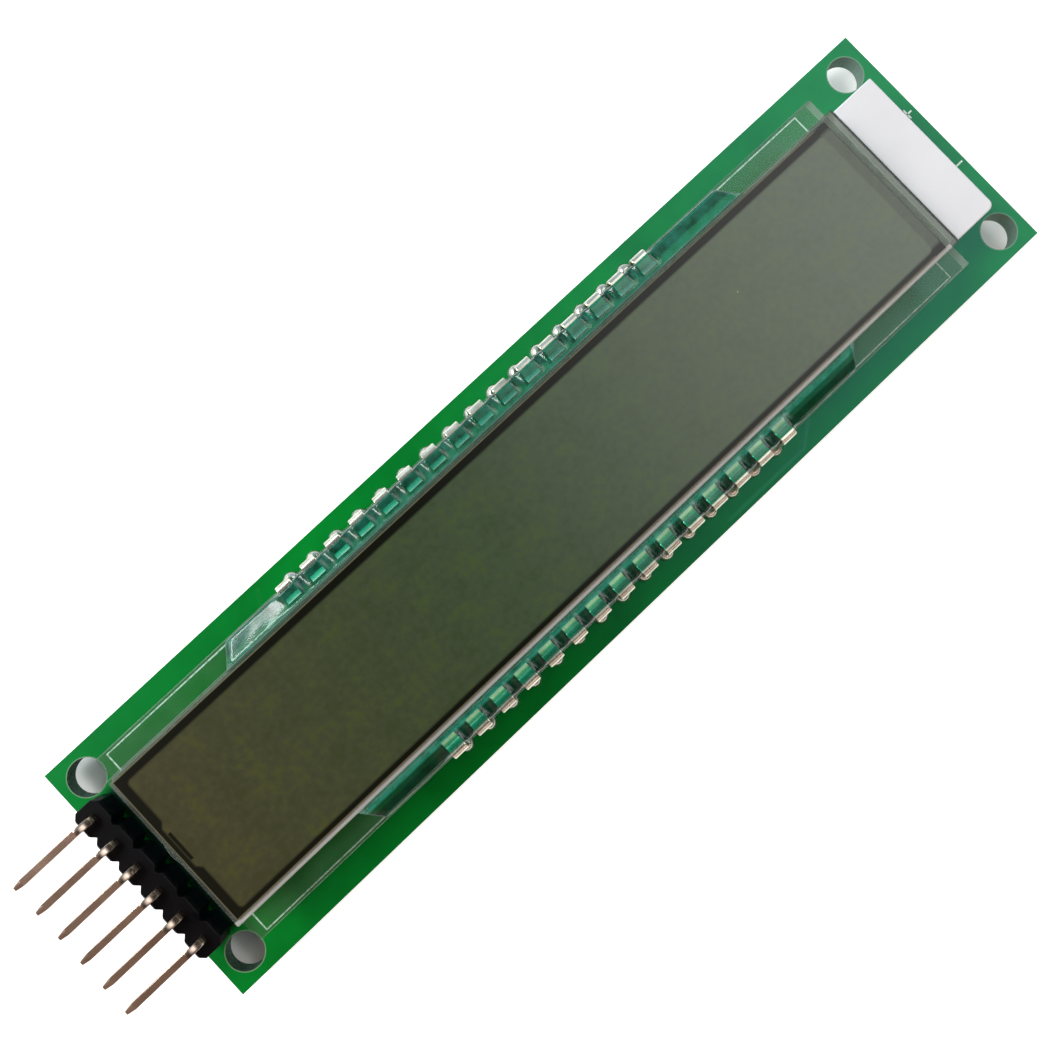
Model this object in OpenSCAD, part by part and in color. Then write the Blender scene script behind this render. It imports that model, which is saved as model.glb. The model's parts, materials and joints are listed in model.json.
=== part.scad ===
// Segment display module: a pin-type liquid crystal cell over a side-lit light guide, on a drilled board
// with a bent pin header. Origin: centre of the four board holes, on the board's underside.
// +Z is the viewing side, -X is the header end. All sizes in millimetres.

/* [Board] */
// Distance from the header end of the board to the light guide
header_margin = 4.75; // [4.6:0.05:12]
// Distance from the lamp housing to the far end of the board
lamp_margin = 3.3; // [1:0.1:12]
// Distance from the rear glass to each long edge of the board
side_margin = 2.6; // [1.6:0.05:8]
// Thickness of the board
board_t = 1.6; // [0.8:0.1:2.4]
// Diameter of the mounting holes
hole_d = 3.2; // [2.2:0.1:3.4]
// Distance of a mounting hole's centre from both board edges
hole_inset = 2.4; // [2.2:0.05:2.8]

/* [Display cell] */
// Length of both glass plates
glass_l = 77; // [62:0.2:120]
// Width of the front plate
front_glass_w = 14.7; // [12:0.1:30]
// Width of the contact ledge that the rear plate has on each long side
ledge_w = 1.95; // [1.6:0.05:3]
// Thickness of each glass plate
glass_t = 1.1; // [0.7:0.05:1.4]
// Thickness of the sealed gap between the plates
cell_gap = 0.06; // [0.04:0.01:0.12]
// Width of the seal line round the cell
seal_w = 0.9; // [0.5:0.1:1.5]
// Thickness of each polarizer film
polarizer_t = 0.2; // [0.15:0.01:0.3]
// Margin of bare glass beside the front polarizer and at its header end
polarizer_margin = 0.4; // [0.1:0.05:0.8]
// Margin of bare glass at the front polarizer's lamp end
polarizer_end_margin = 1.3; // [0.1:0.1:3]
// Width of the end plug that closes the filling port
plug_w = 2.8; // [1.5:0.1:5]
// How far the end plug stands out of the glass
plug_bulge = 0.3; // [0.15:0.05:0.6]

/* [Backlight] */
// How far the light guide stands out past the front plate on each long side
guide_lip = 0.05; // [0:0.05:0.3]
// Thickness of the light guide
guide_t = 3.25; // [2:0.05:4]
// How far the light guide shows past the glass at the header end
guide_tail = 1.05; // [0.2:0.05:1.6]
// Distance from the glass to the lamp housing
lamp_gap = 1.6; // [0.5:0.1:2]
// Thickness of the white film under the light guide
reflector_t = 0.15; // [0.08:0.01:0.3]
// Thickness of the diffuser film over the light guide
diffuser_t = 0.1; // [0.05:0.01:0.2]
// Length of the lamp housing, along X
lamp_l = 4.3; // [3.6:0.1:4.5]
// Wall of the lamp housing
lamp_wall = 0.5; // [0.3:0.05:0.7]
// Radius of the lamp housing's one round corner
lamp_corner_r = 0.6; // [0.2:0.05:0.7]
// Thickness of the lamp strip board
strip_t = 0.6; // [0.4:0.1:0.8]
// Number of lamps on the strip
lamp_count = 3; // [2:1:3]
// Depth of a lamp, along X
lamp_depth = 0.9; // [0.6:0.1:1.2]
// Width of a lamp
lamp_w = 1.9; // [1.2:0.1:2]
// Height of a lamp
lamp_h = 2; // [1:0.1:2.2]
// Distance between the two lamp leads
lead_spacing = 6.2; // [5.4:0.1:6.6]
// Side of a square lamp lead
lead_side = 0.5; // [0.4:0.05:0.6]

/* [Glass pins] */
// Number of pins on the upper long side
upper_pins = 16; // [8:1:16]
// Number of pins on the lower long side
lower_pins = 15; // [8:1:16]
// Distance between neighbouring pins
glass_pin_pitch = 2.54; // [2:0.02:2.54]
// Width of the clip on the glass
clip_w = 1.4; // [1.2:0.05:1.7]
// Thickness of the pin metal
clip_t = 0.25; // [0.15:0.01:0.3]
// Gap between the clip's back and the edge of the glass
clip_gap = 0.04; // [0.02:0.01:0.25]
// Inner radius of the clip's bends
clip_bend_r = 0.2; // [0.1:0.01:0.3]
// Distance of the contact crease from the edge of the glass
crease_reach = 0.85; // [0.5:0.05:0.9]
// Distance of the upper arm's tip from the edge of the glass
upper_reach = 1.45; // [1.1:0.05:1.6]
// Distance of the lower arms' tips from the edge of the glass
lower_reach = 1.1; // [0.95:0.05:1.3]
// Rise of an arm's tip off the glass
tip_rise = 0.25; // [0.1:0.05:0.3]
// Width of the leg that goes through the board
leg_w = 0.5; // [0.4:0.05:0.6]
// How far the legs step outwards on their way to the board
leg_step = 0.3; // [0:0.05:0.8]
// Height of the straight part at both ends of a leg's step
leg_straight = 0.8; // [0.4:0.1:1]
// Length of the leg under the board
leg_tail = 1.6; // [1.2:0.1:2.2]

/* [Resin beads] */
// Height of a bead against the front glass
resin_h = 0.7; // [0.55:0.05:0.75]
// Height of a bead at its outer rim
resin_rim_h = 0.12; // [0.05:0.01:0.2]
// Distance of the outer rim from the edge of the rear glass
resin_rim = 0.1; // [0.05:0.01:0.2]
// Run of the upper bead past the pin at the header end
upper_resin_start = 7; // [3:0.5:9]
// Run of the upper bead past the pin at the lamp end
upper_resin_end = 9.2; // [3:0.2:10]
// Run of the lower bead past the pin at the header end
lower_resin_start = 8.3; // [3:0.1:9]
// Run of the lower bead past the pin at the lamp end
lower_resin_end = 8.6; // [3:0.1:10]

/* [Pin header] */
// Number of header pins
header_pins = 6; // [2:1:6]
// Distance between neighbouring header pins
header_pitch = 2.54; // [2:0.02:2.54]
// Distance of the header row from the end of the board
header_inset = 1.75; // [1.4:0.05:1.9]
// Width of the insulator across the row
insulator_w = 2.5; // [2:0.05:2.6]
// Height of the insulator
insulator_h = 2.54; // [1.5:0.02:3]
// Corner cut of each insulator cell
cell_cut = 0.52; // [0.3:0.02:0.7]
// Edge break along the top of the insulator
insulator_edge = 0.15; // [0.05:0.01:0.3]
// Side of a square header pin
pin_side = 0.6; // [0.5:0.02:0.7]
// Inner radius of the header pins' bend
pin_bend_r = 0.8; // [0.3:0.05:1]
// Reach of the bent pins from the header row to their tips
pin_reach = 7.25; // [4:0.05:12]
// Length of the header pins under the board
pin_tail = 1.4; // [1:0.1:1.6]
// Length of the taper at a pin's tip
pin_tip_l = 0.8; // [0.3:0.1:1.2]
// Side of the square end of the taper
pin_tip_side = 0.34; // [0.2:0.02:0.5]

/* [Soldering] */
// Diameter of the board holes for glass pins and lamp leads
leg_hole_d = 0.9; // [0.8:0.05:1]
// Diameter of the board holes for header pins
pin_hole_d = 1.05; // [1:0.05:1.2]
// Width of the solder ring round a hole
solder_ring = 0.35; // [0.2:0.05:0.4]
// Height of the solder cones under the board
solder_cone_h = 0.9; // [0.5:0.1:1.1]
// Height of the solder domes on the viewing side
solder_dome_h = 0.7; // [0.4:0.05:1]

/* [Driver parts] */
// Side of the driver chip's square body
chip_side = 10; // [9:0.5:12]
// Thickness of the driver chip's body
chip_t = 1.35; // [1:0.05:1.4]
// Gap between the driver chip's body and the board
chip_standoff = 0.1; // [0.05:0.05:0.15]
// Number of chip leads on each side
chip_leads = 11; // [6:1:11]
// Distance between neighbouring chip leads
chip_pitch = 0.8; // [0.5:0.05:0.8]
// Width of a chip lead
chip_lead_w = 0.35; // [0.2:0.05:0.4]
// Thickness of a chip lead
chip_lead_t = 0.15; // [0.1:0.01:0.2]
// Reach of the chip leads past the body
chip_lead_reach = 1; // [0.8:0.1:1.4]
// How far the chip body's sides slope in from its waist
chip_draft = 0.16; // [0.05:0.01:0.3]
// Length of the small chip parts
chip_part_l = 2; // [1.6:0.1:3.2]
// Width of the small chip parts
chip_part_w = 1.25; // [0.8:0.05:1.6]
// Thickness of the series resistor
resistor_t = 0.5; // [0.3:0.05:0.7]
// Thickness of the supply capacitor
capacitor_t = 0.85; // [0.5:0.05:1.25]

/* [Hidden] */
$fn = 48;
wide_arc_fn = 180;
slack = 0.01;
through = 1;

// Levels, from the underside of the board up
z_board = board_t;
z_guide = z_board + reflector_t;
z_diffuser = z_guide + guide_t;
z_rear_film = z_diffuser + diffuser_t;
z_rear_glass = z_rear_film + polarizer_t;
z_ledge = z_rear_glass + glass_t;
z_front_glass = z_ledge + cell_gap;
z_front_film = z_front_glass + glass_t;

// Outline of the board, from the display and its margins
rear_glass_w = front_glass_w + 2 * ledge_w;
guide_w = front_glass_w + 2 * guide_lip;
guide_l = guide_tail + glass_l + lamp_gap;
board_l = header_margin + guide_l + lamp_l + lamp_margin;
board_w = rear_glass_w + 2 * side_margin;

// Places along X
guide_x0 = header_margin - board_l / 2;
glass_x0 = guide_x0 + guide_tail;
cell_shift = glass_x0 + glass_l / 2;
lamp_x0 = guide_x0 + guide_l;
lamp_x1 = lamp_x0 + lamp_l;
strip_x0 = lamp_x1 - lamp_wall - strip_t;
header_x = -board_l / 2 + header_inset;
lead_x = strip_x0 - lead_side / 2;

// Places along Y
hole_x = board_l / 2 - hole_inset;
hole_y = board_w / 2 - hole_inset;
ledge_y = rear_glass_w / 2;
leg_y = ledge_y + clip_gap + clip_t / 2;
lead_y = lead_spacing / 2;
chip_part_y = chip_side / 2 - chip_part_w;
chip_part_x = chip_side / 2 + chip_lead_reach + 2 * chip_part_l;

// Lamp strip
lamp_top = z_diffuser;
strip_h = lamp_top - lamp_wall - z_board - slack;
strip_w = guide_w - 2 * lamp_wall - 2 * slack;
lamp_pitch = (strip_w - lamp_w) / (lamp_count - 1);

// Outlines of solder below and above the board, as shares of the ring's radius and of the height
cone_profile = [[0.6, 1], [0.85, 0.35], [1, 0]];
dome_profile = [[1, 0], [0.95, 0.45], [0.7, 0.8], [0.35, 1], [0, 1]];

// Knee and foot of a chip lead, as shares of its reach
chip_knee = 0.35;
chip_foot = 0.5;

// Names of the repeated nodes
function names(stem, n) = [for (k = [1:n]) str(stem, k)];

// A box centred on X and Y, with its underside at z
module slab(l, w, h, z) {
    translate([-l / 2, -w / 2, z]) cube([l, w, h]);
}

// Offset of copy k of n in a centred row
function row(k, n, pitch) = (k - (n + 1) / 2) * pitch;

function upper_x(k) = cell_shift + row(k, upper_pins, glass_pin_pitch);
function lower_x(k) = cell_shift + row(k, lower_pins, glass_pin_pitch);
function header_y(k) = -row(k, header_pins, header_pitch);

// Puts a pin's own frame on the upper long edge of the rear glass: X along the edge, Y outwards
module on_upper_edge(x) {
    translate([x, ledge_y, 0]) children();
}

module on_lower_edge(x) {
    translate([x, -ledge_y, 0]) mirror([0, 1, 0]) children();
}

// Every through-plated hole of the glass pins and lamp leads
module at_legs() {
    for (k = [1:upper_pins]) translate([upper_x(k), leg_y + leg_step, 0]) children();
    for (k = [1:lower_pins]) translate([lower_x(k), -leg_y - leg_step, 0]) children();
}

module at_leads() {
    for (s = [-1, 1]) translate([lead_x, s * lead_y, 0]) children();
}

module at_header() {
    for (k = [1:header_pins]) translate([header_x, header_y(k), 0]) children();
}

module board() {
    color("#0a7a30")
    difference() {
        slab(board_l, board_w, board_t, 0);
        for (sx = [-1, 1], sy = [-1, 1])
            translate([sx * hole_x, sy * hole_y, -through]) cylinder(d = hole_d, h = board_t + 2 * through);
        at_legs() translate([0, 0, -through]) cylinder(d = leg_hole_d, h = board_t + 2 * through);
        at_leads() translate([0, 0, -through]) cylinder(d = leg_hole_d, h = board_t + 2 * through);
        at_header() translate([0, 0, -through]) cylinder(d = pin_hole_d, h = board_t + 2 * through);
    }
}

// Plan outline of one insulator cell: a square with its corners cut
module cell_outline() {
    a = header_pitch / 2;
    b = insulator_w / 2;
    polygon([
        [-b, a - cell_cut], [-b + cell_cut, a], [b - cell_cut, a], [b, a - cell_cut],
        [b, cell_cut - a], [b - cell_cut, -a], [cell_cut - b, -a], [-b, cell_cut - a]
    ]);
}

// Section across the header row, with its two top edges broken
module insulator_section() {
    b = insulator_w / 2;
    polygon([
        [-b, 0], [b, 0], [b, insulator_h - insulator_edge], [b - insulator_edge, insulator_h],
        [insulator_edge - b, insulator_h], [-b, insulator_h - insulator_edge]
    ]);
}

module header_insulator() {
    row_l = header_pins * header_pitch;
    color("#101114")
    difference() {
        intersection() {
            translate([0, 0, z_board])
                linear_extrude(insulator_h)
                    union() {
                        for (k = [1:header_pins]) translate([header_x, header_y(k)]) cell_outline();
                    }
            translate([header_x, row_l / 2, z_board])
                rotate([90, 0, 0]) linear_extrude(row_l) insulator_section();
        }
        at_header() slab(pin_side, pin_side, insulator_h + 2 * through, z_board - through);
    }
}

// Taper at the end of a pin that runs along +Z, as the overlap of its two side views
module pin_tip() {
    a = pin_side / 2;
    b = pin_tip_side / 2;
    intersection_for (turn = [0, 90])
        rotate([90, 0, turn])
            linear_extrude(2 * pin_side, center = true)
                polygon([[-a, 0], [a, 0], [b, pin_tip_l], [-b, pin_tip_l]]);
}

module header_pin(k) {
    bend = pin_bend_r + pin_side / 2;
    z_bend = z_board + insulator_h;
    color("#b8ae9e")
    translate([header_x, header_y(k), 0]) {
        slab(pin_side, pin_side, z_bend + pin_tail, -pin_tail);
        translate([-bend, 0, z_bend])
            rotate([90, 0, 0])
                rotate_extrude(angle = 90)
                    translate([bend, 0]) square(pin_side, center = true);
        translate([pin_tip_l - pin_reach, -pin_side / 2, z_bend + pin_bend_r])
            cube([pin_reach - pin_tip_l - bend, pin_side, pin_side]);
        translate([pin_tip_l - pin_reach, 0, z_bend + bend]) rotate([0, -90, 0]) pin_tip();
    }
}

// A plate of the given width over the light guide's length
module guide_plate(w, t, z) {
    translate([guide_x0, -w / 2, z]) cube([guide_l, w, t]);
}

// A plate of the display cell
module cell_plate(l, w, t, z) {
    translate([cell_shift, 0, 0]) slab(l, w, t, z);
}

module reflector_film() { color("#f2f2ee") guide_plate(guide_w, reflector_t, z_board); }
module light_guide() { color("#dfe9e4", 0.4) guide_plate(guide_w, guide_t, z_guide); }
module diffuser_film() { color("#e8ece4", 0.7) cell_plate(glass_l, front_glass_w, diffuser_t, z_diffuser); }
module rear_polarizer() { color("#7c8270") cell_plate(glass_l, front_glass_w, polarizer_t, z_rear_film); }
module rear_glass() { color("#cfe6dc", 0.4) cell_plate(glass_l, rear_glass_w, glass_t, z_rear_glass); }
module front_glass() { color("#cfe6dc", 0.4) cell_plate(glass_l, front_glass_w, glass_t, z_front_glass); }

module front_polarizer() {
    l = glass_l - polarizer_margin - polarizer_end_margin;
    w = front_glass_w - 2 * polarizer_margin;
    color("#4c4a38")
    translate([glass_x0 + polarizer_margin, -w / 2, z_front_film]) cube([l, w, polarizer_t]);
}

// The printed seal line, open at the filling port
module cell_seal() {
    cut_t = cell_gap + 2 * through;
    cut_z = z_ledge - through;
    color("#3a3b34")
    difference() {
        cell_plate(glass_l, front_glass_w, cell_gap, z_ledge);
        cell_plate(glass_l - 2 * seal_w, front_glass_w - 2 * seal_w, cut_t, cut_z);
        translate([glass_x0, 0, 0]) slab(4 * seal_w, plug_w / 2, cut_t, cut_z);
    }
}

// Bead of clear resin on the end faces of both plates: a slice of a round bar
module end_plug() {
    bead_r = (pow(plug_w / 2, 2) + pow(plug_bulge, 2)) / (2 * plug_bulge);
    color("#d8ded0", 0.5)
    translate([glass_x0 - plug_bulge, 0, z_rear_glass + glass_t / 2])
        linear_extrude(glass_t + cell_gap)
            intersection() {
                translate([bead_r, 0]) circle(bead_r, $fn = wide_arc_fn);
                translate([0, -plug_w / 2]) square([plug_bulge, plug_w]);
            }
}

// Plan of the lamp housing: the far corner on the lower side is round
module lamp_outline() {
    w = guide_w / 2;
    r = lamp_corner_r;
    difference() {
        translate([lamp_x0, -w]) square([lamp_l, 2 * w]);
        translate([lamp_x1, -w]) square(2 * r, center = true);
    }
    translate([lamp_x1 - r, r - w]) circle(r);
}

// White cap over the lamps, open below and towards the light guide
module lamp_housing() {
    h = lamp_top - z_board;
    color("#f0f0f2")
    difference() {
        translate([0, 0, z_board]) linear_extrude(h) lamp_outline();
        translate([lamp_x0 - through, lamp_wall - guide_w / 2, z_board - through])
            cube([lamp_l - lamp_wall + through, guide_w - 2 * lamp_wall, h - lamp_wall + through]);
    }
}

module lamp_strip() {
    color("#e6e2c8") translate([strip_x0, -strip_w / 2, z_board]) cube([strip_t, strip_w, strip_h]);
}

module lamps() {
    color("#f4e9a8")
    for (k = [1:lamp_count])
        translate([strip_x0 - lamp_depth, row(k, lamp_count, lamp_pitch) - lamp_w / 2, z_board])
            cube([lamp_depth, lamp_w, lamp_h]);
}

module lamp_leads() {
    color("#c9c9cc") at_leads() slab(lead_side, lead_side, z_board + strip_h / 2 + leg_tail, -leg_tail);
}

// One spring arm of a clip, over the width w, with the pressed face of the glass at zero height:
// a quarter bend from the clip's back, a slope down to the crease and a raised tip
module clip_arm(reach, w) {
    outer_r = clip_bend_r + clip_t;
    line = [[clip_gap - clip_bend_r, clip_bend_r], [-crease_reach, 0], [-reach, tip_rise]];
    top = [for (i = [2:-1:0]) line[i] + [0, clip_t]];
    translate([-w / 2, 0, 0])
        rotate([90, 0, 90]) linear_extrude(w) {
            polygon(concat(line, top));
            translate([clip_gap - clip_bend_r, 0])
                intersection() {
                    difference() {
                        circle(outer_r);
                        circle(clip_bend_r);
                    }
                    square(outer_r);
                }
        }
}

module upper_arm() {
    translate([0, 0, z_ledge]) clip_arm(upper_reach, clip_w);
}

// Side view of a leg: straight under the clip, a step outwards, straight again through the board
module leg_section() {
    z_step = z_rear_glass - leg_straight;
    z_foot = z_board + leg_straight;
    line = [[0, z_rear_glass], [0, z_step], [leg_step, z_foot], [leg_step, -leg_tail]];
    back = [for (i = [3:-1:0]) line[i] + [clip_t, 0]];
    translate([clip_gap, 0]) polygon(concat(line, back));
}

// A glass pin in the frame of its edge: one arm over the glass, two under it and a leg between those
module glass_pin() {
    lower_w = (clip_w - leg_w) / 2;
    color("#c8c2b4") {
        upper_arm();
        translate([-clip_w / 2, clip_gap, z_rear_glass]) cube([clip_w, clip_t, glass_t]);
        for (s = [-1, 1])
            translate([s * (clip_w - lower_w) / 2, 0, z_rear_glass])
                mirror([0, 0, 1]) clip_arm(lower_reach, lower_w);
        translate([-leg_w / 2, 0, 0]) rotate([90, 0, 90]) linear_extrude(leg_w) leg_section();
    }
}

// Section of the clear bead on a ledge, from the front glass to its rim, level with the arms' tops
module resin_section() {
    polygon([
        [-ledge_w, 0], [-ledge_w, resin_h], [-upper_reach, tip_rise + clip_t], [-crease_reach, clip_t],
        [-resin_rim, resin_rim_h], [-resin_rim, 0]
    ]);
}

// The bead over n pins: its ends slant, and each arm lies in a channel of its own
module resin_bead(n, start, end) {
    x0 = row(1, n, glass_pin_pitch) - clip_w / 2 - start;
    x1 = row(n, n, glass_pin_pitch) + clip_w / 2 + end;
    difference() {
        intersection() {
            translate([x0, 0, z_ledge])
                rotate([90, 0, 90]) linear_extrude(x1 - x0) resin_section();
            translate([0, 0, z_ledge - through])
                linear_extrude(resin_h + 2 * through)
                    polygon([[x0, -ledge_w], [x1, -ledge_w], [x1 - ledge_w, 0], [x0 + ledge_w, 0]]);
        }
        for (k = [1:n], up = [0, clip_t])
            translate([row(k, n, glass_pin_pitch), 0, up]) upper_arm();
    }
}

module upper_resin() {
    color("#e4efe8", 0.4)
    on_upper_edge(cell_shift) resin_bead(upper_pins, upper_resin_start, upper_resin_end);
}

module lower_resin() {
    color("#e4efe8", 0.4)
    on_lower_edge(cell_shift) resin_bead(lower_pins, lower_resin_start, lower_resin_end);
}

module upper_pin(k) { on_upper_edge(upper_x(k)) glass_pin(); }
module lower_pin(k) { on_lower_edge(lower_x(k)) glass_pin(); }

// Half section of a solder joint in a hole of diameter d: ring below, barrel and dome above
module solder_section(d, dome) {
    r = d / 2 - slack;
    ring = d / 2 + solder_ring;
    cone = [for (p = cone_profile) [p[0] * ring, -p[1] * solder_cone_h]];
    high = [for (p = dome_profile) [p[0] * ring, board_t + p[1] * dome]];
    top = dome > 0 ? high : [[0, board_t]];
    polygon(concat([[0, -solder_cone_h]], cone, [[r, 0], [r, board_t]], top));
}

module solder_joint(d, side_x, side_y, dome) {
    difference() {
        rotate_extrude() solder_section(d, dome);
        slab(side_x, side_y, board_t + 2 * (solder_cone_h + dome), -2 * solder_cone_h);
    }
}

module solder_joints() {
    color("#c4c6c6") {
        at_legs() solder_joint(leg_hole_d, leg_w, clip_t, solder_dome_h);
        at_leads() solder_joint(leg_hole_d, lead_side, lead_side, 0);
        at_header() solder_joint(pin_hole_d, pin_side, pin_side, 0);
    }
}

// Chip body: two drafted halves that meet at the leads
module driver_chip() {
    side = chip_side / 2;
    neck = side - chip_draft;
    z0 = -chip_standoff - chip_t;
    section = [
        [-neck, 0], [neck, 0], [side, chip_t / 2],
        [neck, chip_t], [-neck, chip_t], [-side, chip_t / 2]
    ];
    color("#17181a")
    translate([cell_shift, 0, z0])
        intersection_for (turn = [0, 90])
            rotate([90, 0, turn]) linear_extrude(chip_side, center = true) polygon(section);
}

// One gull-wing lead, in the frame of its side: X outwards from the body, Z from the board down
module chip_lead() {
    mid = chip_standoff + chip_t / 2;
    knee = chip_knee * chip_lead_reach;
    foot = chip_foot * chip_lead_reach;
    t = chip_lead_t;
    rotate([90, 0, 0])
        linear_extrude(chip_lead_w, center = true)
            polygon([
                [0, -mid], [knee, -mid], [foot, -t], [chip_lead_reach, -t], [chip_lead_reach, 0],
                [foot - t, 0], [knee - t, t - mid], [0, t - mid]
            ]);
}

module driver_chip_leads() {
    color("#c9c9cc")
    translate([cell_shift, 0, 0])
        for (turn = [0, 90, 180, 270], k = [1:chip_leads])
            rotate([0, 0, turn]) translate([chip_side / 2, row(k, chip_leads, chip_pitch), 0]) chip_lead();
}

module series_resistor() {
    color("#26282b")
    translate([cell_shift + chip_part_x, chip_part_y, 0])
        slab(chip_part_l, chip_part_w, resistor_t, -resistor_t);
}

module supply_capacitor() {
    color("#b08a5c")
    translate([cell_shift - chip_part_x, chip_part_y, 0])
        slab(chip_part_l, chip_part_w, capacitor_t, -capacitor_t);
}

board();
header_insulator();
for (k = [1:header_pins]) header_pin(k);
reflector_film();
light_guide();
diffuser_film();
lamp_housing();
lamp_strip();
lamps();
lamp_leads();
rear_polarizer();
rear_glass();
cell_seal();
front_glass();
front_polarizer();
end_plug();
upper_resin();
lower_resin();
for (k = [1:upper_pins]) upper_pin(k);
for (k = [1:lower_pins]) lower_pin(k);
driver_chip();
driver_chip_leads();
series_resistor();
supply_capacitor();
solder_joints();
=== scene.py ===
import json
import math

import bmesh
import bpy
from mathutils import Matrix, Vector, noise


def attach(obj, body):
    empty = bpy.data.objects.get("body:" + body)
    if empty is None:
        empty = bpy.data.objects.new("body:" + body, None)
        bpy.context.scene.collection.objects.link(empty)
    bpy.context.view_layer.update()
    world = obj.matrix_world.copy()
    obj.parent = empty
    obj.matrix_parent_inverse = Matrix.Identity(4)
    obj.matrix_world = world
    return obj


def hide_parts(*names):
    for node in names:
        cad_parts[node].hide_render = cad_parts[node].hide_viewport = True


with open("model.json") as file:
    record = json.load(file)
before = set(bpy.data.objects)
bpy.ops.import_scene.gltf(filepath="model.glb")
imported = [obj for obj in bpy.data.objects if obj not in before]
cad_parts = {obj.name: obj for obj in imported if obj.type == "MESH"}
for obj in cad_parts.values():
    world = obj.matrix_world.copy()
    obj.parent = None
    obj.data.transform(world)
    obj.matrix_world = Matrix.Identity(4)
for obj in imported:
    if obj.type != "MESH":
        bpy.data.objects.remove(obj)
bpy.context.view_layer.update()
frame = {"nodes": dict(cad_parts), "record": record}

scene = bpy.context.scene
MM = 0.001

# Sizes of the module in millimetres, in the frame of the CAD model
BOARD_TOP = 1.6
HOLE_X, HOLE_Y, HOLE_R = 43.6, 9.5, 1.6
PITCH = 2.54
UPPER_X = [-20.75 + PITCH * k for k in range(16)]
LOWER_X = [-19.48 + PITCH * k for k in range(15)]
HEADER_X = -44.25
HEADER_Y = [6.35 - PITCH * k for k in range(6)]
GLASS_T = 1.1
LEDGE_Y, LEDGE_Z = 9.3, 6.4
FRONT_Y = 7.35
FILM_X, FILM_HALF_L, FILM_HALF_W = -2.15, 37.65, 6.95
LEAD_X, LEAD_Y = 41.35, 3.1
FLOOR_Z = -1.62

# Glass pins, whose crease lies further in on the upper side, 1, than on the lower side, -1
CLIP_T, CLIP_GAP = 0.25, 0.04
ARM_TIP_Y, TIP_RISE = 7.82, 0.25
CREASE_Y = {1: 8.32, -1: 8.43}
CREASE_R, BEND_R = 0.08, 0.3
UPPER_ARM_W, LOWER_ARM_W, LOWER_ARM_OFF, LEG_W = 1.4, 0.42, 0.48, 0.5
LEG_Y, LEG_END_Z = 9.765, -1.6

# Solder joints, whose domes sit a little off the legs, towards the upper side
JOINT_SIDES, JOINT_SHIFT = 24, 0.12

# Driver chip: its middle, how far its leads reach, and the leads on each side
CHIP_X, CHIP_REACH = -1.7, 6
CHIP_PITCH, CHIP_LEADS = 0.8, 11

# Resin beads: edges, slant of the ends, and how finely the skin is drawn
BEAD_INNER, BEAD_RIM, BEAD_SLANT = FRONT_Y + 0.012, 9.2, 1.5
BEAD_COLUMNS, BEAD_ROWS = 520, 18
# Heights of the skin over the ledge: at the front glass, over the arms, and where it is thinnest
WET_H, ARM_H, THIN_H = 0.72, 0.57, 0.01

# Points closer than this, in metres, are one point, and edges past this angle, in degrees, are hard
WELD = 1e-7
HARD_EDGE = 30

# Kinds of node that recur. Map Range: 0 is the value, 1 and 2 the range read, 3 and 4 what it becomes
MATH, VECTOR, RANGE = "ShaderNodeMath", "ShaderNodeVectorMath", "ShaderNodeMapRange"
RAMP, NOISE, SPLIT = "ShaderNodeValToRGB", "ShaderNodeTexNoise", "ShaderNodeSeparateXYZ"
GEOMETRY, SURFACE, LAYERS = "ShaderNodeNewGeometry", "ShaderNodeBsdfPrincipled", "ShaderNodeMixShader"
# Mix with COLOURS: 0 is the share of the second colour, 6 and 7 are the colours, and output 2 is the mixture
MIX, COLOURS = "ShaderNodeMix", {"data_type": "RGBA"}
ABSOLUTE, LARGER = {"operation": "ABSOLUTE"}, {"operation": "MAXIMUM"}
PLUS, MINUS, MULTIPLY = {"operation": "ADD"}, {"operation": "SUBTRACT"}, {"operation": "MULTIPLY"}
OVER, UNDER = {"operation": "GREATER_THAN"}, {"operation": "LESS_THAN"}


# Small helpers

def linear(code):
    """A colour given as sRGB hex, as linear red, green, blue and alpha."""
    parts = [int(code[i:i + 2], 16) / 255 for i in (1, 3, 5)]
    return tuple(c / 12.92 if c <= 0.04045 else ((c + 0.055) / 1.055) ** 2.4 for c in parts) + (1.0,)


def add(tree, kind, settings=None, sockets=None):
    """Adds one node. A socket is linked if its value is another node's output, and else set to the value.
    The setting "stops" holds a colour ramp's places and colours."""
    node = tree.nodes.new(kind)
    for name, value in (settings or {}).items():
        if name == "stops":
            while len(node.color_ramp.elements) < len(value):
                node.color_ramp.elements.new(1.0)
            for element, (place, code) in zip(node.color_ramp.elements, value):
                element.position, element.color = place, linear(code)
        else:
            setattr(node, name, value)
    for key, value in (sockets or {}).items():
        if isinstance(value, bpy.types.NodeSocket):
            tree.links.new(value, node.inputs[key])
        else:
            node.inputs[key].default_value = value
    return node


def blank(name):
    """A new material with an empty node tree: the material, its tree and its Object coordinates."""
    made = bpy.data.materials.new(name)
    made.use_nodes = True
    made.node_tree.nodes.clear()
    place = add(made.node_tree, "ShaderNodeTexCoord")
    return made, made.node_tree, place.outputs["Object"]


def show(tree, shader):
    """Ends a material's tree in its surface output."""
    add(tree, "ShaderNodeOutputMaterial", None, {"Surface": shader.outputs[0]})


def keep(piece, slot, *nodes):
    """Hangs a finished piece in the frame, for the CAD nodes that it stands for."""
    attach(piece, "root")
    if nodes:
        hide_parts(*nodes)


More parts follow.
